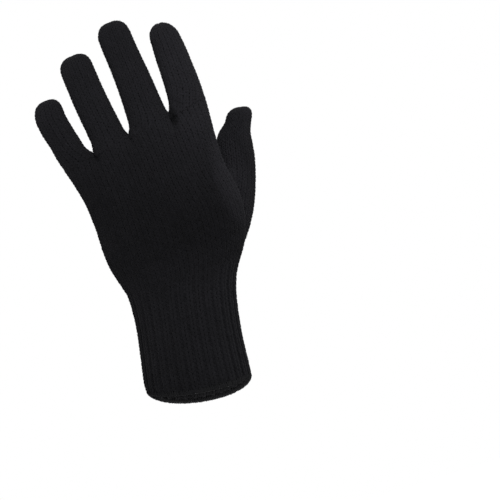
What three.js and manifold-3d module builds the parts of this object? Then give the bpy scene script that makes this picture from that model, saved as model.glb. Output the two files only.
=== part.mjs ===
// A knitted wool glove for the left hand, with the round form that it has on a hand.
// It is a hollow knitted wall: a ribbed cuff with a welt at its mouth, the hand, four fingers and a thumb.
// Millimetres. +Z runs from the mouth of the cuff to the fingertips, +X points to the thumb's side,
// and -Y is the back of the hand. The origin is the centre of the cuff's mouth.

import * as THREE from 'three';
import { mergeVertices } from 'three/addons/utils/BufferGeometryUtils.js';
import Module from 'manifold-3d';

const wasm = await Module();
wasm.setup();

// Driving sizes
const WALL = 2.4;              // thickness of the plain knitted wall
const GAP = 0.3;               // left between two knitted sections that meet
const RIB_COUNT = 30;          // ribs round the cuff
const RIB_RELIEF = 1.3;        // from the bottom of a groove to the top of a rib
const RIB_POINTS = 4;          // corners that draw one rib and its groove
const WELT_HEIGHT = 4;         // plain rolled edge at the cuff's mouth
const RIM_DROP = 8.2;          // the mouth's edge hangs lower in the middle than at its sides
const RIM_TILT = 4.4;          // and lower on the palm's side than on the back
const RIM_DROP_REACH = 45;     // height over which the courses of the cuff level out again
const SEAM_Z = 80;             // where the cuff ends and the hand begins
const FINGER_CUT = 4.5;        // the fingers are joined on this far above the hand's last section
const WEB_DEPTH = 6;           // solid knit between two fingers, below their crotch
const THUMB_PITCH = -0.3;      // turn of the thumb's cut about X, in radians
const VALLEY_LENGTH = 30;      // the hollows between the fingers fade out over this length of the hand
const TOP_VALLEY = 0.8;        // how far those hollows close the hand at the line of the crotches

const HAND_POINTS = 52;        // corners round a section of the hand
const FINGER_POINTS = 16;      // and of a finger
const DOME_STEPS = 3;          // sections in the rounded tip of a finger

// Sections. Each row is one section across the glove: the place of its middle, its width from the
// little finger's side to the thumb's, how far that width leans up to the thumb's side in degrees,
// its depth along Y, and the power of its outline, where 2 is an ellipse and more is squarer.
const SECTION_COLUMNS = ['x', 'y', 'z', 'width', 'lean', 'depth', 'power'];

const CUFF = table(SECTION_COLUMNS, [
  [0.4, 0.0, 5.0, 73.6, -7.7, 53.0, 2.15],
  [1.0, 1.2, 15.0, 74.0, -6.5, 52.0, 2.15],
  [3.7, 3.8, 35.0, 72.3, -4.5, 49.0, 2.15],
  [7.0, 6.2, 55.0, 72.6, -2.5, 46.0, 2.2],
  [9.9, 8.0, 70.0, 76.2, -1.0, 44.5, 2.25],
  [12.9, 9.0, 80.0, 82.3, 0.0, 44.0, 2.3],
]);

const HAND = table(SECTION_COLUMNS, [
  [12.9, 9.0, 80.0, 82.3, 0.0, 44.0, 2.3],
  [14.9, 9.7, 90.0, 91.7, 0.5, 43.5, 2.35],
  [15.6, 10.5, 100.0, 98.4, 1.0, 42.5, 2.4],
  [16.4, 11.5, 110.0, 102.6, 2.0, 41.0, 2.45],
  [16.5, 12.8, 122.0, 103.6, 3.0, 38.5, 2.5],
  [15.7, 13.5, 132.0, 102.0, 4.5, 36.5, 2.5],
  [14.4, 14.0, 143.0, 100.6, 6.3, 34.5, 2.5],
  [13.7, 14.5, 158.0, 102.2, 8.3, 31.5, 2.5],
  [12.5, 15.0, 174.0, 107.0, 9.5, 28.5, 2.5],
  [11.2, 15.5, 186.2, 111.2, 10.3, 26.0, 2.5],
]);

// The crotches, as shares of the half width of the hand's last section, and the depth of each
// finger's root there as a share of the hand's, from the little finger to the index finger.
const CROTCHES = [-0.578, -0.075, 0.501];
const ROOT_DEPTHS = [0.86, 0.95, 1.0, 0.97];

// Each finger's first row lies inside the hand, and its second is at the line of the crotches.
const FINGERS = {
  little_finger: {
    apex: [-41.6, 22.5, 227.9],
    tipPower: 2.7,
    rows: table(SECTION_COLUMNS, [
      [-31.0, 15.5, 170.0, 18.0, 11.0, 16.5, 2.2],
      [-32.0, 15.5, 179.8, 23.6, 11.1, 22.0, 2.4],
      [-35.2, 15.6, 186.0, 21.2, 11.2, 21.8, 2.3],
      [-37.6, 16.2, 196.0, 20.6, 9.0, 21.0, 2.2],
      [-40.1, 17.6, 205.2, 20.8, 7.0, 20.2, 2.2],
      [-41.9, 19.4, 214.4, 20.7, 4.0, 19.2, 2.2],
    ]),
  },
  ring_finger: {
    apex: [-14.3, 26.0, 252.4],
    tipPower: 2.75,
    rows: table(SECTION_COLUMNS, [
      [-6.2, 15.5, 174.0, 21.0, 10.0, 18.5, 2.2],
      [-6.8, 15.5, 184.5, 28.1, 10.3, 24.5, 2.4],
      [-7.4, 15.6, 190.0, 24.8, 7.0, 24.0, 2.3],
      [-8.7, 16.0, 199.2, 24.1, 6.0, 23.3, 2.2],
      [-10.7, 17.2, 213.0, 23.6, 5.0, 22.8, 2.2],
      [-12.4, 19.6, 228.0, 23.2, 5.0, 21.5, 2.2],
      [-13.5, 22.2, 240.0, 23.0, 5.0, 20.4, 2.2],
    ]),
  },
  middle_finger: {
    apex: [17.9, 26.5, 266.8],
    tipPower: 2.7,
    rows: table(SECTION_COLUMNS, [
      [22.6, 15.5, 179.5, 24.0, 9.5, 19.5, 2.2],
      [22.8, 15.5, 189.8, 32.2, 10.3, 25.5, 2.4],
      [23.2, 15.6, 194.5, 28.0, 6.0, 25.0, 2.3],
      [22.8, 16.0, 204.0, 26.2, 4.4, 24.3, 2.2],
      [21.9, 17.3, 221.0, 24.6, 4.7, 23.3, 2.2],
      [20.4, 19.6, 237.0, 23.4, 5.0, 22.0, 2.2],
      [18.9, 22.4, 252.3, 23.0, 4.0, 20.8, 2.2],
    ]),
  },
  index_finger: {
    apex: [50.9, 24.5, 255.4],
    tipPower: 2.1,
    rows: table(SECTION_COLUMNS, [
      [51.6, 15.5, 184.0, 20.0, 10.0, 19.0, 2.2],
      [52.0, 15.5, 194.9, 27.9, 10.3, 24.8, 2.4],
      [53.1, 15.6, 199.4, 25.3, 4.0, 24.5, 2.3],
      [53.5, 15.9, 207.0, 24.3, 0.0, 23.8, 2.2],
      [53.2, 16.8, 220.0, 23.2, 0.0, 22.8, 2.2],
      [52.7, 18.6, 232.0, 22.4, 0.0, 21.6, 2.2],
      [52.2, 20.6, 242.7, 20.6, 0.0, 20.2, 2.2],
    ]),
  },
};

// The thumb's sections. Its first rows are the ball of the thumb, which the hand takes in.
const THUMB = {
  apex: [87.8, 47.5, 182.6],
  tipPower: 2.8,
  cut: [73.0, 36.0, 141.5],
  cutLean: -15,
  rows: table(SECTION_COLUMNS, [
    [37.0, 13.0, 89.5, 27.0, -20.0, 24.0, 2.1],
    [43.5, 17.5, 95.5, 32.5, -26.0, 28.0, 2.1],
    [50.4, 21.3, 104.0, 33.6, -26.0, 30.5, 2.1],
    [58.6, 25.5, 115.5, 32.0, -24.0, 31.0, 2.1],
    [65.0, 29.5, 126.0, 29.0, -21.0, 29.0, 2.15],
    [69.9, 33.3, 135.5, 26.0, -18.0, 26.5, 2.2],
    [73.1, 37.4, 146.0, 26.0, -14.0, 24.5, 2.2],
    [75.3, 40.8, 156.5, 25.2, -10.0, 23.5, 2.2],
    [77.6, 43.2, 165.8, 23.2, -10.0, 22.5, 2.2],
    [83.1, 45.2, 173.3, 18.6, -10.0, 20.0, 2.2],
  ]),
};

// The web that joins the thumb's root to the edge of the hand.
const WEB = table(SECTION_COLUMNS, [
  [57.5, 20.5, 104.0, 20.0, -10.0, 18.0, 2.0],
  [61.0, 23.0, 120.0, 19.0, -8.0, 19.0, 2.0],
  [63.5, 25.0, 132.0, 16.0, -6.0, 18.0, 2.0],
  [65.2, 26.2, 140.0, 12.5, -4.0, 15.0, 2.0],
  [66.2, 27.4, 143.2, 8.0, -2.0, 10.0, 2.0],
]);

// Materials
const knit = new THREE.MeshStandardMaterial({ color: 0x17171a, roughness: 0.95, metalness: 0 });
const ribKnit = new THREE.MeshStandardMaterial({ color: 0x151517, roughness: 0.95, metalness: 0 });

// Tables and numbers
function table(columns, rows) {
  return rows.map((row) => Object.fromEntries(columns.map((name, i) => [name, row[i]])));
}

function mix(a, b, share) {
  return a + (b - a) * share;
}

function smoothStep(share) {
  const s = THREE.MathUtils.clamp(share, 0, 1);
  return s * s * (3 - 2 * s);
}

function signedPower(value, power) {
  return Math.sign(value) * Math.abs(value) ** power;
}

// Outlines. An outline is a closed ring of [across, deep] points in the plane of its section,
// from the little finger's side over the back of the hand and home over the palm.
function evenly(outline, count) {
  const closed = [...outline, outline[0]];
  const along = [0];
  for (let i = 1; i < closed.length; i += 1) {
    const step = Math.hypot(closed[i][0] - closed[i - 1][0], closed[i][1] - closed[i - 1][1]);
    along.push(along[i - 1] + step);
  }
  const picked = [];
  let i = 1;
  for (let k = 0; k < count; k += 1) {
    const target = (along.at(-1) * k) / count;
    while (along[i] < target) i += 1;
    const share = (target - along[i - 1]) / (along[i] - along[i - 1]);
    picked.push([mix(closed[i - 1][0], closed[i][0], share), mix(closed[i - 1][1], closed[i][1], share)]);
  }
  return picked;
}

function roundOutline(section, fine = 360) {
  const outline = [];
  for (let k = 0; k < fine; k += 1) {
    const angle = (2 * Math.PI * k) / fine;
    outline.push([
      (-section.width / 2) * signedPower(Math.cos(angle), 2 / section.power),
      (-section.depth / 2) * signedPower(Math.sin(angle), 2 / section.power),
    ]);
  }
  return outline;
}

// The hand's outline near the fingers is drawn into the hollows between them.
function handOutline(section) {
  const below = HAND.at(-1).z - section.z;
  const hollow = TOP_VALLEY * Math.max(0, 1 - below / VALLEY_LENGTH) ** 2.2;
  const edges = [-1, ...CROTCHES, 1].map((edge) => (edge * section.width) / 2);
  return roundOutline(section).map(([across, deep]) => {
    const f = Math.max(1, edges.findIndex((edge) => across <= edge + 1e-6));
    const middle = (edges[f - 1] + edges[f]) / 2;
    const half = (edges[f] - edges[f - 1]) / 2;
    const hump = ROOT_DEPTHS[f - 1] * Math.sqrt(Math.max(0, 1 - ((across - middle) / half) ** 2));
    return [across, mix(deep, Math.sign(deep) * (section.depth / 2) * hump, hollow)];
  });
}

function grown(outline, distance) {
  const count = outline.length;
  return outline.map(([across, deep], k) => {
    const before = outline[(k + count - 1) % count];
    const after = outline[(k + 1) % count];
    const run = [after[0] - before[0], after[1] - before[1]];
    const length = Math.hypot(...run);
    const out = typeof distance === 'function' ? distance(k) : distance;
    return [across + (run[1] / length) * out, deep - (run[0] / length) * out];
  });
}

// Points in space
function place(section, outline, lift = () => 0) {
  const lean = THREE.MathUtils.degToRad(section.lean);
  return outline.map(([across, deep]) => new THREE.Vector3(
    section.x + across * Math.cos(lean),
    section.y + deep,
    section.z + across * Math.sin(lean) + lift(across / (section.width / 2), deep / (section.depth / 2)),
  ));
}

// The section at a given share of a table, on a smooth curve through its rows.
function sectionAt(rows, share) {
  const spot = THREE.MathUtils.clamp(share, 0, 1) * (rows.length - 1);
  const i = Math.min(Math.floor(spot), rows.length - 2);
  const t = spot - i;
  const section = {};
  for (const name of SECTION_COLUMNS) {
    const p = [i - 1, i, i + 1, i + 2].map((k) => rows[THREE.MathUtils.clamp(k, 0, rows.length - 1)][name]);
    section[name] = 0.5 * (2 * p[1] + (p[2] - p[0]) * t + (2 * p[0] - 5 * p[1] + 4 * p[2] - p[3]) * t * t
      + (3 * p[1] - p[0] - 3 * p[2] + p[3]) * t * t * t);
  }
  return section;
}

// The section at a given height, found by halving.
function sectionAtHeight(rows, z) {
  let low = 0;
  let high = 1;
  for (let i = 0; i < 30; i += 1) {
    const middle = (low + high) / 2;
    if (sectionAt(rows, middle).z < z) low = middle;
    else high = middle;
  }
  return sectionAt(rows, (low + high) / 2);
}

// A closed solid through rings of points, each with as many points as the next, from low to high.
// A sleeve goes up the outside and down the inside, and has no ends to close.
function loft(rings, isSleeve = false) {
  const count = rings[0].length;
  const positions = rings.flat().flatMap((point) => [point.x, point.y, point.z]);
  const faces = [];
  const bands = isSleeve ? rings.length : rings.length - 1;
  for (let r = 0; r < bands; r += 1) {
    const low = r * count;
    const high = ((r + 1) % rings.length) * count;
    for (let k = 0; k < count; k += 1) {
      const next = (k + 1) % count;
      faces.push(low + k, low + next, high + next, low + k, high + next, high + k);
    }
  }
  if (!isSleeve) {
    const top = (rings.length - 1) * count;
    const flat = (ring) => ring.map((point) => new THREE.Vector2(point.x, point.y));
    for (const [a, b, c] of THREE.ShapeUtils.triangulateShape(flat(rings[0]), [])) faces.push(c, b, a);
    for (const [a, b, c] of THREE.ShapeUtils.triangulateShape(flat(rings.at(-1)), [])) {
      faces.push(top + a, top + b, top + c);
    }
  }
  const geometry = new THREE.BufferGeometry();
  geometry.setAttribute('position', new THREE.Float32BufferAttribute(positions, 3));
  geometry.setIndex(faces);
  return geometry;
}

// Joining and cutting
function solid(geometry) {
  const bare = geometry.clone();
  bare.deleteAttribute('normal');
  bare.deleteAttribute('uv');
  const merged = mergeVertices(bare, 1e-4);
  return new wasm.Manifold(new wasm.Mesh({
    numProp: 3,
    vertProperties: Float32Array.from(merged.attributes.position.array),
    triVerts: Uint32Array.from(merged.index.array),
  }));
}

function together(solids) {
  return solids.reduce((sum, each) => sum.add(each));
}

function meshOf(name, made, material) {
  const { vertProperties, triVerts } = made.getMesh();
  const geometry = new THREE.BufferGeometry();
  geometry.setAttribute('position', new THREE.Float32BufferAttribute(vertProperties, 3));
  geometry.setIndex(Array.from(triVerts));
  geometry.computeVertexNormals();
  const mesh = new THREE.Mesh(geometry, material);
  mesh.name = name;
  return mesh;
}

// All of space above a plane through a point, whose width leans as a section's does.
function spaceAbove(point, lean, lift, pitch) {
  const size = 600;
  const box = new THREE.BoxGeometry(size, size, size);
  box.translate(0, 0, size / 2 + lift);
  box.rotateX(pitch);
  box.rotateY(-THREE.MathUtils.degToRad(lean));
  box.translate(...point);
  return solid(box);
}

// Cuff and welt
function rimLift(share) {
  return (across, deep) => {
    const middle = Math.max(0, 1 - across * across) ** 0.6;
    return -share * (RIM_DROP * middle + RIM_TILT * deep);
  };
}

function ribWave(k) {
  const crest = k % RIB_POINTS < RIB_POINTS / 2;
  return crest ? RIB_RELIEF / 2 : -RIB_RELIEF / 2;
}

function cuffRing(z, inset, ribs) {
  const section = sectionAtHeight(CUFF, z);
  const middle = roundOutline(section);
  const plain = grown(evenly(middle, RIB_COUNT * RIB_POINTS), -RIB_RELIEF / 2 - inset);
  const outline = grown(plain, (k) => ribWave(k) * ribs);
  const near = 1 - smoothStep((z - CUFF[0].z) / RIM_DROP_REACH);
  return place(section, outline, rimLift(near));
}

function makeCuff() {
  const bottom = CUFF[0].z + WELT_HEIGHT + GAP;
  const heights = [bottom, 25, 44, 63, SEAM_Z];
  const ribs = (z) => 1 - 0.6 * smoothStep((z - 62) / (SEAM_Z - 62));
  const outer = heights.map((z) => cuffRing(z, 0, ribs(z)));
  const inner = heights.map((z) => cuffRing(z, WALL, ribs(z)));
  return solid(loft([...outer, ...inner.reverse()], true));
}

function makeWelt() {
  const profile = [
    { up: 0, inset: 0.4 },
    { up: 1.2, inset: -0.5 },
    { up: 2.8, inset: -0.5 },
    { up: WELT_HEIGHT, inset: 0.3 },
    { up: WELT_HEIGHT, inset: WALL },
    { up: 0, inset: WALL },
  ];
  const rings = profile.map(({ up, inset }) => cuffRing(CUFF[0].z + up, inset, 0));
  return solid(loft(rings.map((ring) => ring.filter((_, k) => k % 2 === 0)), true));
}

// Fingers and thumb. A digit gives its tube above the cut, its root below it and its whole hollow.
function digitRings(digit, inset) {
  const rings = digit.rows.map((section) => {
    const outline = grown(evenly(roundOutline(section), FINGER_POINTS), -inset);
    return place(section, outline);
  });
  const last = digit.rows.at(-1);
  const base = rings.at(-1);
  const middle = new THREE.Vector3(last.x, last.y, last.z);
  const rise = new THREE.Vector3(...digit.apex).sub(middle);
  rise.setLength(rise.length() - inset);
  for (let step = 1; step <= DOME_STEPS; step += 1) {
    const angle = (Math.PI / 2) * (step / (DOME_STEPS + 0.45));
    const spread = Math.cos(angle) ** (2 / digit.tipPower);
    const up = Math.sin(angle) ** (2 / digit.tipPower);
    const flat = step === DOME_STEPS ? 1 : up;
    rings.push(base.map((point) => point.clone().sub(middle).multiplyScalar(spread)
      .add(middle).addScaledVector(rise, flat)));
  }
  return rings;
}

function digitPlane(digit) {
  if (digit.cut) return { point: digit.cut, lean: digit.cutLean, pitch: THUMB_PITCH, lift: 0 };
  const last = HAND.at(-1);
  return { point: [last.x, last.y, last.z], lean: last.lean, pitch: 0, lift: FINGER_CUT };
}

function makeDigit(digit) {
  const outer = solid(loft(digitRings(digit, 0)));
  const inner = solid(loft(digitRings(digit, WALL)));
  const { point, lean, pitch, lift } = digitPlane(digit);
  const above = spaceAbove(point, lean, lift + GAP / 2, pitch);
  const past = spaceAbove(point, lean, lift - GAP / 2, pitch);
  return {
    tube: outer.subtract(inner).intersect(above),
    root: outer.subtract(past),
    hollow: inner,
  };
}

// Hand
function handRings(inset, bottom, top) {
  const heights = [bottom, ...HAND.map((row) => row.z).filter((z) => z > bottom + 1 && z < top - 1), top];
  return heights.map((z) => {
    const section = sectionAtHeight(HAND, z);
    return place(section, grown(evenly(handOutline(section), HAND_POINTS), -inset));
  });
}

function webRings(inset) {
  return WEB.map((section) => place(section, grown(evenly(roundOutline(section), FINGER_POINTS), -inset)));
}

function makeHand(digits) {
  const top = HAND.at(-1).z;
  const shell = solid(loft(handRings(0, SEAM_Z + GAP, top))).add(solid(loft(webRings(0))));
  const hollow = solid(loft(handRings(WALL, SEAM_Z - 1, top - WEB_DEPTH))).add(solid(loft(webRings(WALL))));
  const roots = Object.values(digits).map((digit) => digit.root);
  const hollows = Object.values(digits).map((digit) => digit.hollow);
  return together([shell, ...roots]).subtract(together([hollow, ...hollows]));
}

// The glove
const digits = Object.fromEntries(
  Object.entries({ ...FINGERS, thumb: THUMB }).map(([name, digit]) => [name, makeDigit(digit)]),
);

const glove = new THREE.Group();
glove.add(meshOf('cuff_welt', makeWelt(), ribKnit));
glove.add(meshOf('cuff', makeCuff(), ribKnit));
glove.add(meshOf('hand', makeHand(digits), knit));
for (const [name, digit] of Object.entries(digits)) glove.add(meshOf(name, digit.tube, knit));

export default glove;
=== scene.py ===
# A black wool glove for the left hand, knitted stitch by stitch round the form that it has when
# worn. The hand and fingers are plain stocking stitch, the cuff is one-by-one rib and its mouth is
# overcast. Sizes are in millimetres until a mesh is made, which is in metres. Materials and lights
# are in metres too.

import math

import bmesh
import bpy
import numpy as np
from mathutils import Matrix, Vector
from mathutils.bvhtree import BVHTree


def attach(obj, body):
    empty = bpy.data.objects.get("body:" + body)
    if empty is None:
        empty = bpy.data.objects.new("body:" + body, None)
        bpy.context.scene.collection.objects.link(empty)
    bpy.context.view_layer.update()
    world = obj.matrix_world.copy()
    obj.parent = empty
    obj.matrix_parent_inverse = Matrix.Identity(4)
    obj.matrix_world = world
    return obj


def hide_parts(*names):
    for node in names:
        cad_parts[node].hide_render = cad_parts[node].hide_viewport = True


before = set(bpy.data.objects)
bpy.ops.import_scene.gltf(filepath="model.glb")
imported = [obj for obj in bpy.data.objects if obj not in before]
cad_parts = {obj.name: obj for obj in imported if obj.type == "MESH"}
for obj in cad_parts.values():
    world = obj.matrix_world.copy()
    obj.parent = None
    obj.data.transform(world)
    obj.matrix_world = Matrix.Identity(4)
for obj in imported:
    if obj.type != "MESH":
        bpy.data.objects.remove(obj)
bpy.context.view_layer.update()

MM = 0.001
SEED = 7

# Driving sizes of the knitting
WALL = 2.4                # thickness of the knitted wall
COURSE = 2.6              # height of one row of stitches
FULL_WIDTH = 3.0          # a stitch that is narrower than this is thinner as well
CUFF_COURSE = 2.7
HAND_LAP = 0.35           # of a course, by which the hand's first one laps over the cuff
CROWN = 0.4               # how far the yarn stands out over the form, so that its mean lies on it
RIB_COUNT = 30            # ribs round the cuff
RIB_RELIEF = 1.3          # from the bottom of a groove to the top of a rib
RIB_SPREAD = 1.3          # wales, that the stitches of a rib are wide
FIRST_RIB = 0.25          # wale at which the first rib has its middle
GROOVE_DEPTH = 0.38       # of the relief, that the purl stitches lie deep
GROOVE_SHALLOWER = 0.25   # of the relief, that they rise again towards the hand
GROOVE_RISE_Z = 62        # from this height on
INSIDE_DEPTH = 0.45       # of the relief, of the grooves on the inside
INSIDE_REACH = 0.6        # of the cuff's length, that has its stitches on the inside too
RIM_DROP = 8.2            # the mouth's edge hangs lower in the middle than at its sides
RIM_TILT = 4.4            # and lower on the palm's side than on the back
RIM_DROP_REACH = 45       # height over which the courses of the cuff level out again
EDGE_HEIGHT = 4.2         # the overcast edge of the mouth
EDGE_LAP = 0.6            # of a course, by which the cuff's first one reaches into the edge
SEAM_Z = 80               # where the cuff ends and the hand begins
VALLEY_LENGTH = 30        # the hollows between the fingers fade out over this length of the hand
TOP_VALLEY = 0.8          # how far those hollows close the hand at the line of the crotches
TIP_SHARES = (1, 2 / 3, 1 / 2, 1 / 3, 1 / 4, 1 / 6)   # of the wales, that reach up into a fingertip
NARROWEST = 2.0           # where a fingertip's stitches are narrower, fewer and wider ones are laid
LEFT_OUT = 0.5            # and a stitch that would still be narrower than this is left out
TIP_GAP = 0.2             # of a course, that a fingertip's last one stays below the very tip
COVERED = 0.8             # a stitch that lies deeper than this in another form is left out
WEB_COVERED = 0.6         # and so is one of the web
WALE_SPREAD_Z = 112       # from here up, the wales of the hand sort themselves into the fingers
EVEN_OUT = 14             # length of a finger over which its side wales open out
WEB_WALES = 14

# How unevenly the stitches lie: in wales, in courses, in millimetres out of the form, in width
LOOSE_WALE, LOOSE_COURSE, LOOSE_RISE, LOOSE_WIDTH = 0.02, 0.04, 0.06, 0.05

# Fineness of the forms that the stitches are laid on
SPOTS_PER_WALE = 4
CUFF_RINGS, HAND_RINGS, WEB_RINGS, DIGIT_RINGS = 60, 120, 40, 140
RINGS_PER_SECTION = 12    # of a finger, before they are spaced evenly
TIP_RINGS = 18

# Each row is one section across the glove: the place of its middle, its width from the little
# finger's side to the thumb's, how far that width leans in degrees, its depth along Y, and the
# power of its outline, where 2 is an ellipse and more is squarer.
SECTION_COLUMNS = ("x", "y", "z", "width", "lean", "depth", "power")

CUFF = (
    (0.4, 0.0, 5.0, 73.6, -7.7, 53.0, 2.15),
    (1.0, 1.2, 15.0, 74.0, -6.5, 52.0, 2.15),
    (3.7, 3.8, 35.0, 72.3, -4.5, 49.0, 2.15),
    (7.0, 6.2, 55.0, 72.6, -2.5, 46.0, 2.2),
    (9.9, 8.0, 70.0, 76.2, -1.0, 44.5, 2.25),
    (12.9, 9.0, 80.0, 82.3, 0.0, 44.0, 2.3),
)

HAND = (
    (12.9, 9.0, 80.0, 82.3, 0.0, 44.0, 2.3),
    (14.9, 9.7, 90.0, 91.7, 0.5, 43.5, 2.35),
    (15.6, 10.5, 100.0, 98.4, 1.0, 42.5, 2.4),
    (16.4, 11.5, 110.0, 102.6, 2.0, 41.0, 2.45),
    (16.5, 12.8, 122.0, 103.6, 3.0, 38.5, 2.5),
    (15.7, 13.5, 132.0, 102.0, 4.5, 36.5, 2.5),
    (14.4, 14.0, 143.0, 100.6, 6.3, 34.5, 2.5),
    (13.7, 14.5, 158.0, 102.2, 8.3, 31.5, 2.5),
    (12.5, 15.0, 174.0, 107.0, 9.5, 28.5, 2.5),
    (11.2, 15.5, 186.2, 111.2, 10.3, 26.0, 2.5),
)

# The crotches, as shares of the half width of the hand's last section, and the depth of each
# finger's root there as a share of the hand's, from the little finger to the index finger.
CROTCHES = (-0.578, -0.075, 0.501)
ROOT_DEPTHS = (0.86, 0.95, 1.0, 0.97)

# The fingers, each with its wales on the back, its extra wales on the side of the little finger
# and on the side of the thumb, where its first course starts, and its sections from the crotch up.
FINGERS = {
    "little_finger": {
        "back_wales": 7, "side_wales": (0, 2), "first_course": -0.85,
        "apex": (-41.6, 22.5, 227.9), "tip_power": 2.7,
        "rows": (
            (-32.0, 15.5, 179.8, 23.6, 11.1, 22.0, 2.4),
            (-35.2, 15.6, 186.0, 21.2, 11.2, 21.8, 2.3),
            (-37.6, 16.2, 196.0, 20.6, 9.0, 21.0, 2.2),
            (-40.1, 17.6, 205.2, 20.8, 7.0, 20.2, 2.2),
            (-41.9, 19.4, 214.4, 20.7, 4.0, 19.2, 2.2),
        ),
    },
    "ring_finger": {
        "back_wales": 8, "side_wales": (2, 2), "first_course": -0.9,
        "apex": (-14.3, 26.0, 252.4), "tip_power": 2.75,
        "rows": (
            (-6.8, 15.5, 184.5, 28.1, 10.3, 24.5, 2.4),
            (-7.4, 15.6, 190.0, 24.8, 7.0, 24.0, 2.3),
            (-8.7, 16.0, 199.2, 24.1, 6.0, 23.3, 2.2),
            (-10.7, 17.2, 213.0, 23.6, 5.0, 22.8, 2.2),
            (-12.4, 19.6, 228.0, 23.2, 5.0, 21.5, 2.2),
            (-13.5, 22.2, 240.0, 23.0, 5.0, 20.4, 2.2),
        ),
    },
    "middle_finger": {
        "back_wales": 9, "side_wales": (2, 2), "first_course": -1.0,
        "apex": (17.9, 26.5, 266.8), "tip_power": 2.7,
        "rows": (
            (22.8, 15.5, 189.8, 32.2, 10.3, 25.5, 2.4),
            (23.2, 15.6, 194.5, 28.0, 6.0, 25.0, 2.3),
            (22.8, 16.0, 204.0, 26.2, 4.4, 24.3, 2.2),
            (21.9, 17.3, 221.0, 24.6, 4.7, 23.3, 2.2),
            (20.4, 19.6, 237.0, 23.4, 5.0, 22.0, 2.2),
            (18.9, 22.4, 252.3, 23.0, 4.0, 20.8, 2.2),
        ),
    },
    "index_finger": {
        "back_wales": 8, "side_wales": (2, 0), "first_course": -1.35,
        "apex": (50.9, 24.5, 255.4), "tip_power": 2.1,
        "rows": (
            (52.0, 15.5, 194.9, 27.9, 10.3, 24.8, 2.4),
            (53.1, 15.6, 199.4, 25.3, 4.0, 24.5, 2.3),
            (53.5, 15.9, 207.0, 24.3, 0.0, 23.8, 2.2),
            (53.2, 16.8, 220.0, 23.2, 0.0, 22.8, 2.2),
            (52.7, 18.6, 232.0, 22.4, 0.0, 21.6, 2.2),
            (52.2, 20.6, 242.7, 20.6, 0.0, 20.2, 2.2),
        ),
    },
}

THUMB = {
    "back_wales": 9, "side_wales": (2, 2), "first_course": 0.0,
    "apex": (87.8, 47.5, 182.6), "tip_power": 2.8,
    "rows": (
        (37.0, 13.0, 89.5, 27.0, -20.0, 24.0, 2.1),
        (43.5, 17.5, 95.5, 32.5, -26.0, 28.0, 2.1),
        (50.4, 21.3, 104.0, 33.6, -26.0, 30.5, 2.1),
        (58.6, 25.5, 115.5, 32.0, -24.0, 31.0, 2.1),
        (65.0, 29.5, 126.0, 29.0, -21.0, 29.0, 2.15),
        (69.9, 33.3, 135.5, 26.0, -18.0, 26.5, 2.2),
        (73.1, 37.4, 146.0, 26.0, -14.0, 24.5, 2.2),
        (75.3, 40.8, 156.5, 25.2, -10.0, 23.5, 2.2),
        (77.6, 43.2, 165.8, 23.2, -10.0, 22.5, 2.2),
        (83.1, 45.2, 173.3, 18.6, -10.0, 20.0, 2.2),
    ),
}

# The web between the thumb and the hand
WEB = (
    (57.5, 20.5, 104.0, 20.0, -10.0, 18.0, 2.0),
    (61.0, 23.0, 120.0, 19.0, -8.0, 19.0, 2.0),
    (63.5, 25.0, 132.0, 16.0, -6.0, 18.0, 2.0),
    (65.2, 26.2, 140.0, 12.5, -4.0, 15.0, 2.0),
    (66.2, 27.4, 143.2, 8.0, -2.0, 10.0, 2.0),
)

# Creases of the back of the hand and fingers: the x and z of one end, the x and z of the other, the
# depth and how far to each side it reaches.
CREASES = (
    (-28.0, 93.0, 15.0, 97.0, 0.7, 4.5),
    (14.0, 141.0, 22.0, 108.0, 0.6, 12.0),
    (45.0, 202.0, 46.5, 188.0, 1.0, 2.2),
    (-21.0, 180.0, -12.0, 174.0, 0.9, 4.0),
    (10.0, 240.5, 30.0, 236.0, 0.45, 1.5),
    (-24.0, 235.0, -2.0, 238.5, 0.4, 1.5),
    (43.0, 226.0, 63.0, 229.0, 0.35, 1.5),
)


# Sections and rings
def smooth_step(share):
    s = np.clip(share, 0, 1)
    return s * s * (3 - 2 * s)


def section_at(rows, spot):
    """The section at a spot counted in rows, on a smooth curve through the rows."""
    table = np.array(rows)
    i = min(int(max(spot, 0)), len(rows) - 2)
    t = spot - i
    p = [table[min(max(k, 0), len(rows) - 1)] for k in (i - 1, i, i + 1, i + 2)]
    values = 0.5 * (
        2 * p[1] + (p[2] - p[0]) * t
        + (2 * p[0] - 5 * p[1] + 4 * p[2] - p[3]) * t ** 2
        + (3 * p[1] - p[0] - 3 * p[2] + p[3]) * t ** 3
    )
    return dict(zip(SECTION_COLUMNS, values))


def section_at_height(rows, z):
    low, high = 0.0, len(rows) - 1.0
    for _ in range(30):
        middle = (low + high) / 2
        if section_at(rows, middle)["z"] < z:
            low = middle
        else:
            high = middle
    return section_at(rows, (low + high) / 2)


def round_outline(section, fine=720):
    """A closed outline from the little finger's side over the back and home over the palm."""
    angle = np.linspace(0, 2 * math.pi, fine + 1)
    power = 2 / section["power"]
    cos, sin = np.cos(angle), np.sin(angle)
    across = -section["width"] / 2 * np.sign(cos) * np.abs(cos) ** power
    deep = -section["depth"] / 2 * np.sign(sin) * np.abs(sin) ** power
    return np.stack([across, deep], 1)


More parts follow.
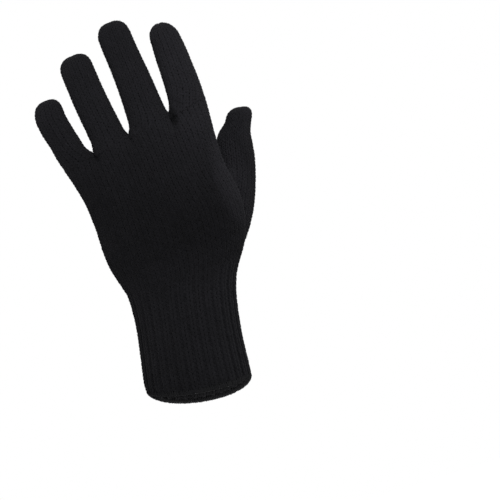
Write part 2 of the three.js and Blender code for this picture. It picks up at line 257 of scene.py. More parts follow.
def hand_outline(section):
    """The hand's outline near the fingers is drawn into the hollows between them."""
    outline = round_outline(section)
    below = HAND[-1][2] - section["z"]
    hollow = TOP_VALLEY * max(0.0, 1 - below / VALLEY_LENGTH) ** 2.2
    edges = np.array([-1, *CROTCHES, 1]) * section["width"] / 2
    finger = np.clip(np.searchsorted(edges, outline[:, 0], side="left") - 1, 0, 3)
    middle = (edges[finger] + edges[finger + 1]) / 2
    half = (edges[finger + 1] - edges[finger]) / 2
    bow = np.sqrt(np.clip(1 - ((outline[:, 0] - middle) / half) ** 2, 0, 1))
    hump = np.array(ROOT_DEPTHS)[finger] * bow * np.sign(outline[:, 1]) * section["depth"] / 2
    outline[:, 1] += (hump - outline[:, 1]) * hollow
    return outline


def even_shares(wales):
    spots = wales * SPOTS_PER_WALE
    return np.arange(spots) / spots


def shares_along(outline):
    step = np.linalg.norm(np.diff(outline, axis=0), axis=1)
    along = np.concatenate([[0], np.cumsum(step)])
    return along / along[-1]


def pick(outline, shares):
    """Points of a closed outline at the given shares of its length."""
    along = shares_along(outline)
    return np.stack([np.interp(shares % 1.0, along, outline[:, k]) for k in (0, 1)], 1)


def place(section, points, lift=0.0):
    """Points of a flat outline, in the glove."""
    lean = math.radians(section["lean"])
    return np.stack([
        section["x"] + points[:, 0] * math.cos(lean),
        section["y"] + points[:, 1],
        section["z"] + points[:, 0] * math.sin(lean) + lift,
    ], 1)


def crease_depth(points, normals):
    """How far each point is drawn in by the creases, which are shallower at their ends."""
    spot = points[..., [0, 2]]
    depth = np.zeros(points.shape[:-1])
    for x0, z0, x1, z1, most, reach in CREASES:
        start, run = np.array([x0, z0]), np.array([x1 - x0, z1 - z0])
        share = np.clip(((spot - start) @ run) / (run @ run), 0, 1)
        away = np.linalg.norm(spot - start - share[..., None] * run, axis=-1)
        ends = np.minimum(1, 1.6 - 1.4 * np.abs(2 * share - 1))
        depth += most * ends * np.exp(-(away / reach) ** 2)
    return depth * smooth_step(-2 * normals[..., 1])


# Forms
class Form:
    """A tube that stitches are laid on, as a grid of points: wales run along it, courses round it.
    Columns of the grid are spaced in wales and rows in courses."""

    def __init__(self, rings, wales, courses):
        self.points = np.array(rings)
        self.wales = wales
        self.courses = courses
        around = np.roll(self.points, -1, 1) - np.roll(self.points, 1, 1)
        along = np.gradient(self.points, axis=0)
        normal = np.cross(around, along)
        length = np.linalg.norm(normal, axis=2, keepdims=True)
        self.normals = normal / np.maximum(length, 1e-9)
        drawn_in = crease_depth(self.points, self.normals)[..., None]
        self.points = self.points - self.normals * drawn_in
        self.rise = along * (len(self.points) - 1) / courses
        gap = np.linalg.norm(np.roll(self.points, -1, 1) - self.points, axis=2)
        self.pitch = gap * self.points.shape[1] / wales

    def sample(self, grid, wale, course):
        """Reads a grid at places given in wales and courses."""
        rows, columns = grid.shape[:2]
        u = np.asarray(wale) / self.wales * columns
        v = np.clip(np.asarray(course) / self.courses, 0, 1) * (rows - 1)
        u0 = np.floor(u).astype(int)
        v0 = np.minimum(np.floor(v).astype(int), rows - 2)
        fu, fv = (u - u0)[..., None], (v - v0)[..., None]
        if grid.ndim == 2:
            fu, fv = fu[..., 0], fv[..., 0]
        a, b = u0 % columns, (u0 + 1) % columns
        low = grid[v0, a] * (1 - fu) + grid[v0, b] * fu
        high = grid[v0 + 1, a] * (1 - fu) + grid[v0 + 1, b] * fu
        return low * (1 - fv) + high * fv

    def at(self, wale, course, height):
        """Points on the form, and straight on beyond its ends."""
        beyond = course - np.clip(course, 0, self.courses)
        points = self.sample(self.points, wale, course)
        points = points + self.sample(self.rise, wale, course) * beyond[..., None]
        return points + self.sample(self.normals, wale, course) * np.asarray(height)[..., None]

    def tree(self):
        """The form with its two ends closed."""
        rows, columns = self.points.shape[:2]
        corner = np.arange(rows * columns).reshape(rows, columns)
        low, high = corner[:-1], corner[1:]
        faces = np.stack([low, np.roll(low, -1, 1), np.roll(high, -1, 1), high], 2).reshape(-1, 4)
        ends = [corner[0, ::-1].tolist(), corner[-1].tolist()]
        return BVHTree.FromPolygons(self.points.reshape(-1, 3).tolist(), faces.tolist() + ends)

    def covers(self, points, depth):
        """Which points lie deeper than depth inside this form: a line from such a point leaves
        the form once more than it enters it."""
        tree = self.tree()
        way = Vector((0.23, 0.95, 0.21)).normalized()
        just_past = way * 0.001
        hidden = []
        for point in points:
            crossings, spot = 0, Vector(point)
            while spot is not None:
                spot = tree.ray_cast(spot, way)[0]
                if spot is not None:
                    crossings += 1
                    spot = spot + just_past
            hidden.append(crossings % 2 == 1 and tree.find_nearest(Vector(point))[3] > depth)
        return np.array(hidden)


def rim_lift(near, section, points):
    """How far the points of a ring are lifted for the form of the mouth, where near is 1."""
    across = points[:, 0] / (section["width"] / 2)
    deep = points[:, 1] / (section["depth"] / 2)
    middle = np.clip(1 - across ** 2, 0, None) ** 0.6
    return -near * (RIM_DROP * middle + RIM_TILT * deep)


def cuff_form(inset=0.0, inside=False):
    """The cuff from its mouth to the hand. The form of its inside has its face inward, and its
    wales run the other way."""
    wales = RIB_COUNT * 2
    shares = even_shares(wales)
    mouth_z = CUFF[0][2]
    rings = []
    for z in np.linspace(mouth_z, SEAM_Z, CUFF_RINGS):
        section = section_at_height(CUFF, z)
        points = pick(round_outline(section), shares)
        ahead = np.roll(points, -1, 0) - np.roll(points, 1, 0)
        ahead /= np.linalg.norm(ahead, axis=1, keepdims=True)
        points = points + np.stack([ahead[:, 1], -ahead[:, 0]], 1) * -inset
        near = 1 - smooth_step((z - mouth_z) / RIM_DROP_REACH)
        rings.append(place(section, points, rim_lift(near, section, points)))
    rings = np.array(rings)
    courses = round((SEAM_Z - mouth_z) / CUFF_COURSE)
    return Form(rings[:, ::-1] if inside else rings, wales, courses)


def hand_form():
    """The hand from the cuff to the crotches. Near the fingers its wales close up or spread, so
    that each finger's own wales end at its root."""
    backs = [finger["back_wales"] for finger in FINGERS.values()]
    wales = 2 * sum(backs)
    last = section_at(HAND, len(HAND) - 1)
    outline = hand_outline(last)
    half = outline[: len(outline) // 2 + 1]
    along_half = shares_along(outline)[: len(half)]
    crotches = [np.interp(c * last["width"] / 2, half[:, 0], along_half) for c in CROTCHES]
    counted = np.cumsum([0, *backs]) / wales
    even = even_shares(wales)
    sorted_back = np.interp(np.minimum(even, 1 - even), counted, [0, *crotches, 0.5])
    into_fingers = np.where(even <= 0.5, sorted_back, 1 - sorted_back)
    rings = []
    for z in np.linspace(SEAM_Z, last["z"], HAND_RINGS):
        section = section_at_height(HAND, z)
        sorting = smooth_step((z - WALE_SPREAD_Z) / (last["z"] - WALE_SPREAD_Z))
        shares = even + (into_fingers - even) * sorting
        rings.append(place(section, pick(hand_outline(section), shares)))
    return Form(rings, wales, round((last["z"] - SEAM_Z) / COURSE) + 1 - HAND_LAP)


def digit_form(digit, opens=True):
    """A finger from its crotch to its tip. Its side wales open out above the crotch."""
    left, right = digit["side_wales"]
    back = digit["back_wales"]
    wales = 2 * back + left + right
    even = np.arange(wales * SPOTS_PER_WALE) / SPOTS_PER_WALE
    ends = np.array([0, left / 2, left / 2 + back, left / 2 + back + right,
                     left / 2 + 2 * back + right, wales])
    closed = np.interp(even, ends, (0, 0, 0.5, 0.5, 1, 1))
    rows = digit["rows"]
    root = np.array(rows[0][:3])
    rings = []
    for spot in np.linspace(0, len(rows) - 1, RINGS_PER_SECTION * (len(rows) - 1)):
        section = section_at(rows, spot)
        middle = np.array([section["x"], section["y"], section["z"]])
        gone = np.linalg.norm(middle - root)
        open_share = smooth_step(gone / EVEN_OUT) if opens else 1.0
        shares = closed + (even / wales - closed) * open_share
        rings.append(place(section, pick(round_outline(section), shares)))
    base = rings[-1]
    rise = np.array(digit["apex"]) - middle
    for angle in np.linspace(0, math.pi / 2, TIP_RINGS)[1:]:
        spread = max(math.cos(angle), 1e-3) ** (2 / digit["tip_power"])
        up = math.sin(angle) ** (2 / digit["tip_power"])
        rings.append((base - middle) * spread + middle + rise * up)

    # The rings are spaced again, evenly over the surface from the root to the tip.
    rings = np.array(rings)
    step = np.linalg.norm(np.diff(rings.mean(1), axis=0), axis=1)
    edge = np.linalg.norm(np.diff(rings, axis=0), axis=2).mean(1)
    run = np.concatenate([[0], np.cumsum(np.maximum(step, edge))])
    even_run = np.linspace(0, run[-1], DIGIT_RINGS)
    flat = rings.reshape(len(rings), -1)
    rings = np.stack([np.interp(even_run, run, flat[:, k]) for k in range(flat.shape[1])], 1)
    return Form(rings.reshape(DIGIT_RINGS, -1, 3), wales, run[-1] / COURSE)


def web_form():
    rings = []
    for spot in np.linspace(0, len(WEB) - 1, WEB_RINGS):
        section = section_at(WEB, spot)
        rings.append(place(section, pick(round_outline(section), even_shares(WEB_WALES))))
    return Form(rings, WEB_WALES, (WEB[-1][2] - WEB[0][2]) / COURSE)


# Parts that are repeated
class Part:
    """A small closed mesh: x and y in wales and courses, z in millimetres out of the knitting. Its
    vertices and faces are sorted, because a new sphere has them in another order each time."""

    def __init__(self, bm):
        uv = bm.loops.layers.uv.active
        verts = sorted(bm.verts, key=lambda vert: [round(c, 5) for c in vert.co])
        number = {vert: i for i, vert in enumerate(verts)}
        faces = sorted(bm.faces, key=lambda face: sorted(number[vert] for vert in face.verts))
        self.co = np.array([vert.co[:] for vert in verts])
        self.faces = [[number[vert] for vert in face.verts] for face in faces]
        self.uv = np.array([loop[uv].uv[:] for face in faces for loop in face.loops])
        bm.free()


def strand_part(bend, width, thick, start, reach, dip, crown=0.0, sides=6, steps=5):
    """A short length of yarn with rounded ends. bend gives its middle line across the wale, and
    dip is how far its ends go down. It is a ball drawn long and made fuller towards its ends."""
    bm = bmesh.new()
    bm.loops.layers.uv.new("yarn")
    bmesh.ops.create_uvsphere(bm, u_segments=sides, v_segments=steps, radius=0.5, calc_uvs=True)
    for vert in bm.verts:
        along = vert.co.z + 0.5
        radius = math.hypot(vert.co.x, vert.co.y)
        full = (2 * radius) ** -0.45 if radius > 1e-4 else 0.0
        vert.co = (
            bend(along) + vert.co.x * full * width,
            start + along * reach,
            crown - thick / 2 - dip * (2 * along - 1) ** 2 - vert.co.y * full * thick,
        )
    return Part(bm)


def knit_leg(side):
    """One leg of a knit stitch: it leans out of the middle of its wale as it rises."""
    return strand_part(
        bend=lambda along: side * (0.07 + 0.30 * along ** 0.8 + 0.05 * math.sin(math.pi * along)),
        width=0.6, thick=1.5, start=-0.68, reach=1.62, dip=0.32, crown=CROWN,
    )


def purl_bump():
    """The head of a purl stitch: a low arch across its wale, at the bottom of a groove."""
    part = strand_part(lambda along: 0.0, width=1.35, thick=1.6, start=-0.5, reach=1.0, dip=0.3)
    part.co = part.co[:, [1, 0, 2]] * [2.0, -1.0, 1.0]
    return part


LEGS = (knit_leg(-1), knit_leg(1))


# Objects and joined meshes
def add_object(name, data):
    made = bpy.data.objects.new(name, data)
    bpy.context.scene.collection.objects.link(made)
    return made


def object_from(bm, name):
    mesh = bpy.data.meshes.new(name)
    bm.to_mesh(mesh)
    bm.free()
    return add_object(name, mesh)


def join_copies(name, copies):
    """One object from sets of placed copies. Each set has the points of all its copies, the part
    that they are copies of, and a tone for each."""
    points, loops, starts, uvs, tones = [], [], [], [], []
    vertex, loop_count = 0, 0
    for placed, part, tone in copies:
        if not len(placed):
            continue
        number, size = placed.shape[:2]
        copy = np.arange(number)[:, None]
        corners = np.concatenate([np.array(f) for f in part.faces])
        face_ends = np.cumsum([len(f) for f in part.faces])
        face_starts = np.concatenate([[0], face_ends[:-1]])
        points.append(placed.reshape(-1, 3))
        loops.append((corners + vertex + copy * size).ravel())
        starts.append((face_starts + loop_count + copy * len(corners)).ravel())
        uvs.append(np.tile(part.uv, (number, 1)))
        tones.append(np.repeat(tone, size))
        vertex += number * size
        loop_count += number * len(corners)
    points, loops, starts = (np.concatenate(rows) for rows in (points, loops, starts))
    yarn = np.concatenate(uvs).astype(np.float32).ravel()
    tone = np.concatenate(tones).astype(np.float32)
    mesh = bpy.data.meshes.new(name)
    mesh.vertices.add(len(points))
    mesh.vertices.foreach_set("co", (points * MM).astype(np.float32).ravel())
    mesh.loops.add(len(loops))
    mesh.loops.foreach_set("vertex_index", loops.astype(np.int32))
    mesh.polygons.add(len(starts))
    mesh.polygons.foreach_set("loop_start", starts.astype(np.int32))
    mesh.update(calc_edges=True)
    mesh.uv_layers.new(name="yarn").data.foreach_set("uv", yarn)
    mesh.attributes.new("tone", "FLOAT", "POINT").data.foreach_set("value", tone)
    mesh.shade_smooth()
    return add_object(name, mesh)


# Laying stitches
random = np.random.default_rng(SEED)


def lay(form, stitches, part, sink=0.0):
    """Lays one copy of a part on a form for each stitch, a little unevenly, as yarn lies. A part
    that has less than its full width on the form is thinner too."""
    wale, course, spread = stitches
    number = len(wale)
    wale = wale + random.normal(0, LOOSE_WALE, number)
    course = course + random.normal(0, LOOSE_COURSE, number)
    rise = random.normal(0, LOOSE_RISE, number) - sink
    spread = spread * random.normal(1, LOOSE_WIDTH, number)
    width = form.sample(form.pitch, wale, course) * spread
    thinner = np.clip(width / FULL_WIDTH, 0.25, 1)
    placed = form.at(
        wale[:, None] + part.co[None, :, 0] * spread[:, None],
        course[:, None] + part.co[None, :, 1],
        rise[:, None] + part.co[None, :, 2] * thinner[:, None],
    )
    return placed, part, random.normal(0, 1, number)


def stitches_on(form, first=0.0, last=None, wales=None):
    """Every stitch as its wale, its course and how many wales wide it is. Where the wales run
    together at a fingertip, fewer and wider stitches take their place."""
    last = form.courses if last is None else last
    rows = []
    for course in np.arange(first + 0.5, last, 1.0):
        if wales is not None:
            rows.append([wales, np.full(len(wales), course), np.ones(len(wales))])
            continue
        middles = np.arange(form.wales) + 0.5
        pitch = form.sample(form.pitch, middles, np.full(form.wales, course)).mean()
        share = next((s for s in TIP_SHARES if pitch / s > NARROWEST), TIP_SHARES[-1])
        number = round(form.wales * share)
        spread = form.wales / number
        middles = (np.arange(number) + 0.5) * spread
        rows.append([middles, np.full(number, course), np.full(number, spread)])
    return np.concatenate(rows, axis=1)


def knit_copies(form, stitches):
    """The two legs of each knit stitch."""
    return [lay(form, stitches, leg) for leg in LEGS]


def outside_of(stitches, form, others, depth=COVERED):
    """Leaves out the stitches that lie inside another form."""
    for other in others:
        middles = form.at(stitches[0], stitches[1], np.full(stitches.shape[1], -CROWN))
        stitches = stitches[:, ~other.covers(middles, depth)]
    return stitches


# Knitting
def knit_digit(name, form, neighbours, first_course):
    """A finger or the thumb, without the stitches that its neighbours cover at its root."""
    stitches = stitches_on(form, first_course, form.courses - TIP_GAP)
    wide = form.sample(form.pitch, stitches[0], stitches[1]) * stitches[2] > LEFT_OUT
    stitches = outside_of(stitches[:, wide], form, neighbours)
    return join_copies(name, knit_copies(form, stitches))


def knit_hand(form, thumb, web):
    """The back and the palm of the hand, each a panel of stocking stitch."""
    stitches = outside_of(stitches_on(form, -HAND_LAP), form, (thumb, web))
    on_back = stitches[0] < form.wales / 2
    back = knit_copies(form, stitches[:, on_back])
    palm = knit_copies(form, stitches[:, ~on_back])
    palm += knit_copies(web, outside_of(stitches_on(web), web, (form, thumb), WEB_COVERED))
    return join_copies("back_knit", back), join_copies("palm_knit", palm)


def knit_cuff(outer, inner):
    """One-by-one rib: knit wales stand up on both faces, and each has a purl wale behind it."""
    crests = np.arange(RIB_COUNT) * 2 + FIRST_RIB
    grooves = crests + 1.0
    first = EDGE_HEIGHT / CUFF_COURSE - EDGE_LAP
    ribs = stitches_on(outer, first, wales=crests)
    ribs[2] *= RIB_SPREAD
    copies = knit_copies(outer, ribs)
    purls = stitches_on(outer, first, wales=grooves)
    z = CUFF[0][2] + purls[1] * CUFF_COURSE
    towards_hand = smooth_step((z - GROOVE_RISE_Z) / (SEAM_Z - GROOVE_RISE_Z))
    bump = purl_bump()
    sink = RIB_RELIEF * (GROOVE_DEPTH - GROOVE_SHALLOWER * towards_hand)
    copies.append(lay(outer, purls, bump, sink))
    reach = inner.courses * INSIDE_REACH
    behind = knit_copies(inner, stitches_on(inner, first, reach, outer.wales - grooves))
    purls = stitches_on(inner, first, reach, outer.wales - crests)
    behind.append(lay(inner, purls, bump, RIB_RELIEF * INSIDE_DEPTH))
    return join_copies("cuff_ribs", copies), join_copies("cuff_inside_ribs", behind)


# Fuzz
def fuzz(forms, per_stitch=0.45, thick=0.06, mean_wale=3.2):
    """Loose ends of wool that lie over the stitches at every angle. Each one is curled on the form
    and stands off it in the middle, by its arch."""
    fibre = strand_part(lambda along: 0.0, thick, thick, -0.5, 1.0, 0.0, sides=3, steps=4)
    copies = []
    for form in forms:
        number = int(form.wales * form.courses * per_stitch)
        wale = random.uniform(0, form.wales, number)
        course = random.uniform(0.5, form.courses - 1.5, number)
        turn = random.uniform(0, math.pi, number)[:, None]
        length = random.uniform(1.5, 4.0, number)[:, None]
        arch = random.uniform(0.3, 0.9, number)[:, None]
        across, along, height = fibre.co.T[:, None]
        bow = (along * 2) ** 2
        curl = 0.25 * length * bow * np.sign(turn - 1.5)
        step_x = (along * length * np.cos(turn) + (across + curl) * np.sin(turn)) / mean_wale
        step_y = (along * length * np.sin(turn) - (across + curl) * np.cos(turn)) / COURSE
        rise = CROWN - 0.35 + height + arch * (1 - bow)
        placed = form.at(wale[:, None] + step_x, course[:, None] + step_y, rise)
        copies.append((placed, fibre, random.normal(1.5, 1, number)))
    return join_copies("fuzz", copies)


# Walls
def wall_piece(node, nodes, inset=0.9, next_within=0.7, overlap=0.15):
    """The body of the knitting behind the stitches: the node's own solid drawn in on both faces.
    Where it ends at another node it is carried on to meet that one."""
    bm = bmesh.new()
    for other in nodes:
        if other != node:
            bm.from_mesh(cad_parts[other].data)
    others = BVHTree.FromBMesh(bm)
    bm.clear()
    bm.from_mesh(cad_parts[node].data)
    bmesh.ops.remove_doubles(bm, verts=bm.verts, dist=1e-6)
    bm.normal_update()
    moved = []
    for vert in bm.verts:
        side, to_next = vert.normal.copy(), Vector()
        near, _, _, gap = others.find_nearest(vert.co, next_within * MM)
        if near is not None and gap > 0:
            way = (near - vert.co) / gap
            side = (side - way * side.dot(way)).normalized()
            to_next = way * (gap / 2 + overlap * MM)
        moved.append(vert.co - side * inset * MM + to_next)
    for vert, place_to in zip(bm.verts, moved):
        vert.co = place_to
    return object_from(bm, node + "_wall")


# Edge of the mouth
def overcast_edge(outer, wraps_per_rib=5, thick=0.9, slant=0.5, tall=1.25):
    """The overcast edge: slanting stitches close together, each wrapped round the mouth's edge
    nearly to its own start. They lean by slant of their spacing."""
    wraps = RIB_COUNT * wraps_per_rib
    bm = bmesh.new()
    bm.loops.layers.uv.new("yarn")
    bmesh.ops.create_uvsphere(bm, u_segments=5, v_segments=9, radius=0.5, calc_uvs=True)
    wrap = Part(bm)
    along = wrap.co[:, 2]
    outward, sideways = wrap.co[:, 1], -wrap.co[:, 0]
    turn = along * math.radians(300)
    half_wall = WALL / 2 + 0.35
    radius = half_wall + thick * outward
    across = sideways * 1.3 + slant * along
    height = -half_wall + radius * np.sin(turn)
    rise = (EDGE_HEIGHT * 0.42 - radius * np.cos(turn) * tall) / CUFF_COURSE
    spacing = outer.wales / wraps
    wale = np.arange(wraps) * spacing + random.normal(0, 0.03, wraps)
    placed = outer.at(
        wale[:, None] + across * spacing,
        rise + random.normal(0, 0.03, wraps)[:, None],
        height + random.normal(0, 0.06, wraps)[:, None],
    )
    return join_copies("cuff_edge", [(placed, wrap, random.normal(0, 1, wraps))])


# Shader
class Value:
    """A socket that takes part in sums: each operator adds the Math node that works it out."""

    def __init__(self, material, socket):
        self.material, self.socket = material, socket

    def math(self, operation, *others):
        return self.material.node("ShaderNodeMath", {"operation": operation}, [self, *others])

    def __add__(self, other): return self.math("ADD", other)
    def __radd__(self, other): return self.math("ADD", other)
    def __sub__(self, other): return self.math("SUBTRACT", other)
    def __rsub__(self, other): return self.material.lift(other).math("SUBTRACT", self)
    def __mul__(self, other): return self.math("MULTIPLY", other)
    def __rmul__(self, other): return self.math("MULTIPLY", other)

    def sine(self): return self.math("SINE")
    def at_least(self, low): return self.math("MAXIMUM", low)
    def at_most(self, high): return self.math("MINIMUM", high)
    def clamped(self): return self.at_least(0.0).at_most(1.0)


class Material:
    """A material, the one method that adds a node to it, and short forms of what is added often."""

    def __init__(self, name):
        self.data = bpy.data.materials.new(name)
        self.data.use_nodes = True
        self.tree = self.data.node_tree
        self.shader = self.tree.nodes["Principled BSDF"]

    def node(self, kind, settings=None, inputs=None, output=0):
        made = self.tree.nodes.new(kind)
        for name, value in (settings or {}).items():
            setattr(made, name, value)
        pairs = inputs.items() if isinstance(inputs, dict) else enumerate(inputs or [])
        for key, value in pairs:
            self.put(made.inputs[key], value)
        return Value(self, made.outputs[output])

    def put(self, entry, value):
        if isinstance(value, Value):
            self.tree.links.new(value.socket, entry)
        else:
            entry.default_value = value

    def feed(self, name, value):
        self.put(self.shader.inputs[name], value)

    def lift(self, number):
        return self.node("ShaderNodeMath", {"operation": "ADD"}, [number, 0.0])

    def place(self):
        return self.node("ShaderNodeTexCoord", output="Object")

    def parted(self, vector):
        """The x, y and z of a vector."""
        first = self.node("ShaderNodeSeparateXYZ", {}, [vector])
        return [Value(self, output) for output in first.socket.node.outputs]

    def noise(self, scale, detail):
        """Noise from 0 to 1, that is 0.5 on average."""
        inputs = {"Vector": self.place(), "Scale": scale, "Detail": detail}
        return self.node("ShaderNodeTexNoise", {}, inputs)

    def blend(self, share, low, high):
        inputs = {"Factor": share, "A": low, "B": high}
        return self.node("ShaderNodeMix", {"data_type": "RGBA"}, inputs, 2)

    def bump(self, strength, distance, height):
        inputs = {"Strength": strength, "Distance": distance, "Height": height}
        self.feed("Normal", self.node("ShaderNodeBump", {}, inputs))


WOOL = (0.0013, 0.0013, 0.0015, 1)
WOOL_LIGHT = (0.0066, 0.0064, 0.0076, 1)
# A paler wool, painted light for the cuff's inside and the palm's side of its edge, which lie in
# shade.
WOOL_PAINTED_LIGHT = (0.0102, 0.0101, 0.0109, 1)
FLOOR = (0.90, 0.90, 0.90, 1)
FLOOR_LIGHT = (0.94, 0.94, 0.94, 1)

# Where light and shade are painted into the wool's colour, in metres. Each ramp has the place
# where it sets in and the one where it is full: heights z, and y for the palm and the fold. Each
# oval has its middle and its half sizes in x and z.
FINGER_PAINTED_LIGHT = (0.13, 0.2014)      # at x = 0
PAINTED_LIGHT_LEAN = 0.35                  # of x, that it sets in lower towards the thumb
CUFF_PAINTED_LIGHT = (0.1, 0.0667)
PALM_PAINTED_LIGHT = (0.0, 0.01667)
FOLD_SHADE_BACK_Y = (0.015, 0.01167)
KNUCKLE_SIDES = (0.02, 0.052)     # x between which the painted light of the knuckles grows
CUFF_MIDDLE_X = 0.025
MOUTH_SHADE_Z = 0.03               # the cuff has less painted light from here down, as painted shade at the mouth
THUMB_BALL_HIGHLIGHT_OVAL = ((0.067, 0.135), (0.014, 0.0419))
# painted shade in the fold at the index finger's root
INDEX_FOLD_SHADE_OVAL = ((0.041, 0.1895), (0.003536, 0.00877))


def ramp(value, start, end):
    """0 up to the start, and 1 from the end on."""
    return ((value - start) * (1 / (end - start))).clamped()


def oval(x, z, middle, half):
    """1 in the middle of an oval, and 0 from its edge outwards."""
    across, up = x - middle[0], z - middle[1]
    return (1.0 - (across * across * half[0] ** -2 + up * up * half[1] ** -2)).clamped()


def painted_light_and_shade(x, y, z, palm):
    """How much light and shade are painted into the wool for its place: painted light over the
    fingers and knuckles, most on the thumb's side, a painted highlight on the ball of the thumb and
    painted light down the middle of the cuff. The fold at the index finger's root is darker, as
    painted shade. palm is how much painted light makes the palm's side paler."""
    inner, outer = KNUCKLE_SIDES
    # Painted light up the fingers and knuckles, most on the thumb's side.
    up = ramp(z + x.at_most(outer) * PAINTED_LIGHT_LEAN, *FINGER_PAINTED_LIGHT)
    fingers = up * 0.4 + (x.at_least(inner).at_most(outer) - inner) * up * up * 9.0
    # Painted light down the middle of the cuff, less towards its sides, and painted shade at its
    # mouth.
    off_middle = x - CUFF_MIDDLE_X
    cuff = z.at_most(MOUTH_SHADE_Z) * 4.0 + 0.12 - off_middle * off_middle * 50.0
    # Painted shade in the fold at the index finger's root, on the back only.
    fold_shade = oval(x, z, *INDEX_FOLD_SHADE_OVAL) * ramp(y, *FOLD_SHADE_BACK_Y)
    # A painted highlight on the ball of the thumb, and painted light on the palm's side.
    return (fingers + oval(x, z, *THUMB_BALL_HIGHLIGHT_OVAL) * 0.6 + ramp(z, *CUFF_PAINTED_LIGHT) * cuff
            + ramp(y, *PALM_PAINTED_LIGHT) * palm - fold_shade * 0.7)


def wool(name, base_tone_and_painted_light=0.18, light=WOOL_LIGHT, palm=0.0):
    """Black wool: matt, with a pale bloom of fibres at grazing light and a twisted ply."""
    m = Material(name)
    cloudy = m.noise(38.0, 3.0) - 0.5
    fibres = m.noise(2600.0, 2.0) - 0.5
    tone = m.node("ShaderNodeAttribute", {"attribute_name": "tone"}, output="Fac")
    u, v, _ = m.parted(m.node("ShaderNodeUVMap", {"uv_map": "yarn"}))
    ply = ((u * 2.0 + v * 3.0) * (2 * math.pi)).sine()
    x, y, z = m.parted(m.place())
    # The base tone, raised as painted light for parts in shade, then light and shade painted by
    # place, then tone that differs at random.
    mixed = base_tone_and_painted_light + painted_light_and_shade(x, y, z, palm) + cloudy * 0.35 + tone * 0.04 + fibres * 0.4
    m.feed("Base Color", m.blend(mixed.clamped(), WOOL, light))
    m.feed("Roughness", 0.95)
    m.feed("Specular IOR Level", 0.02)
    m.feed("Sheen Weight", 0.012)
    m.feed("Sheen Roughness", 0.55)
    m.feed("Sheen Tint", (0.95, 0.95, 1.0, 1))
    m.bump(0.6, 0.00022, ply * 0.6 + fibres * 1.6)
    return m.data


def inner_wool(name):
    """The wall behind the stitches: rows of purl bumps, matt and dark."""
    m = Material(name)
    fibres = m.noise(1400.0, 3.0) - 0.5
    cloudy = m.noise(60.0, 2.0) - 0.5
    _, _, z = m.parted(m.place())
    rows = (z * (2 * math.pi / (COURSE * MM))).sine()
    mixed = (0.45 + cloudy * 0.4 + fibres * 0.5).clamped()
    m.feed("Base Color", m.blend(mixed, WOOL, WOOL_LIGHT))
    m.feed("Roughness", 0.97)
    m.feed("Specular IOR Level", 0.02)
    m.bump(0.8, 0.0005, rows * 0.5 + fibres * 0.8)
    return m.data


def floor_material():
    m = Material("pale_floor")
    m.feed("Base Color", m.blend(m.noise(2.0, 2.0), FLOOR, FLOOR_LIGHT))
    m.feed("Roughness", 0.9)
    m.feed("Specular IOR Level", 0.1)
    return m.data


# Camera, light and floor
PICTURE_WIDTH = 350.0         # width of the view where the glove is
CAMERA_MIDDLE = (62.9, 83.9)  # x and z of the middle of the view
CAMERA_Y = -2388.0
FOCUS_Y = 12.0
ROLL = math.radians(18)
LIT_MIDDLE_M = (0.02, 0.01, 0.13)
FLOOR_MIDDLE_M = (0.02, 0.0, -0.30)


def add_camera():
    data = bpy.data.cameras.new("camera")
    data.sensor_width = 36.0
    data.lens = data.sensor_width * (FOCUS_Y - CAMERA_Y) / PICTURE_WIDTH
    data.clip_start, data.clip_end = 0.1, 40.0
    camera = add_object("camera", data)
    right = Vector((math.cos(ROLL), 0, -math.sin(ROLL)))
    up = Vector((math.sin(ROLL), 0, math.cos(ROLL)))
    turn = Matrix((right, up, -Vector((0, 1, 0)))).transposed().to_4x4()
    spot = Vector((CAMERA_MIDDLE[0], CAMERA_Y, CAMERA_MIDDLE[1])) * MM
    camera.matrix_world = Matrix.Translation(spot) @ turn
    bpy.context.scene.camera = camera


def add_area(name, place_m, size_m, watts):
    data = bpy.data.lights.new(name, "AREA")
    data.shape = "SQUARE"
    data.size = size_m
    data.energy = watts
    light = add_object(name, data)
    light.location = place_m
    aim = Vector(LIT_MIDDLE_M) - Vector(place_m)
    light.rotation_euler = aim.to_track_quat("-Z", "Y").to_euler()


def add_light():
    add_area("key", (0.8, -1.7, 1.5), 1.4, 80.0)
    add_area("fill", (-1.5, -1.3, 0.5), 1.6, 20.0)
    add_area("back", (0.3, 1.8, 1.2), 1.6, 34.0)
    world = bpy.data.worlds.new("white_room")
    world.use_nodes = True
    background = world.node_tree.nodes["Background"]
    background.inputs["Color"].default_value = (1, 1, 1, 1)
    background.inputs["Strength"].default_value = 1.0
    bpy.context.scene.world = world


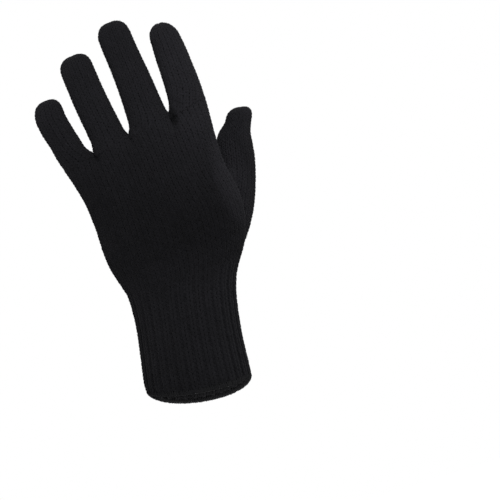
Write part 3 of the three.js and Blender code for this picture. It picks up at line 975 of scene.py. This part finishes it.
def add_floor():
    bm = bmesh.new()
    bmesh.ops.create_circle(bm, cap_ends=True, segments=64, radius=2.4)
    bmesh.ops.translate(bm, verts=bm.verts, vec=FLOOR_MIDDLE_M)
    floor = object_from(bm, "floor")
    floor.data.materials.append(floor_material())


def hand_over(piece, material, slot, *nodes):
    piece.data.materials.clear()
    piece.data.materials.append(material)
    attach(piece, "root")
    if nodes:
        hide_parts(*nodes)


# The glove
def build():
    plain = wool("black_wool")
    ribbed = wool("black_wool_rib")
    # The inside of the cuff and the palm's side of the mouth's edge are painted paler, as painted
    # light where they lie in shade.
    inside_ribbed = wool("black_wool_inside_painted_light", base_tone_and_painted_light=0.8, light=WOOL_PAINTED_LIGHT)
    edge = wool("black_wool_edge", base_tone_and_painted_light=0.12, light=WOOL_PAINTED_LIGHT, palm=0.7)
    behind = inner_wool("black_wool_wall")

    hand = hand_form()
    fingers = {name: digit_form(finger) for name, finger in FINGERS.items()}
    thumb = digit_form(THUMB, opens=False)
    web = web_form()
    cuff = cuff_form()
    cuff_inside = cuff_form(inset=RIB_RELIEF + WALL, inside=True)

    names = list(FINGERS)
    for i, name in enumerate(names):
        beside = [fingers[n] for n in names[max(0, i - 1): i] + names[i + 1: i + 2]]
        knit = knit_digit(name + "_knit", fingers[name], beside, FINGERS[name]["first_course"])
        hand_over(knit, plain, "plain_knit", name)
    knit = knit_digit("thumb_knit", thumb, [hand, web], THUMB["first_course"])
    hand_over(knit, plain, "plain_knit", "thumb")
    for panel in knit_hand(hand, thumb, web):
        hand_over(panel, plain, "plain_knit", "hand")
    outside, inside = knit_cuff(cuff, cuff_inside)
    hand_over(outside, ribbed, "rib_knit", "cuff")
    hand_over(inside, inside_ribbed, "rib_knit")
    hand_over(overcast_edge(cuff), edge, "welt_knit", "cuff_welt")
    hand_over(fuzz([cuff, hand, *fingers.values(), thumb]), plain, "plain_knit")
    nodes = ("cuff_welt", "cuff", "hand", *names, "thumb")
    for node in nodes:
        slot = {"cuff": "rib_knit", "cuff_welt": "welt_knit"}.get(node, "plain_knit")
        hand_over(wall_piece(node, nodes), behind, slot)


bpy.context.scene.view_settings.view_transform = "Standard"
add_camera()
add_light()
add_floor()
build()
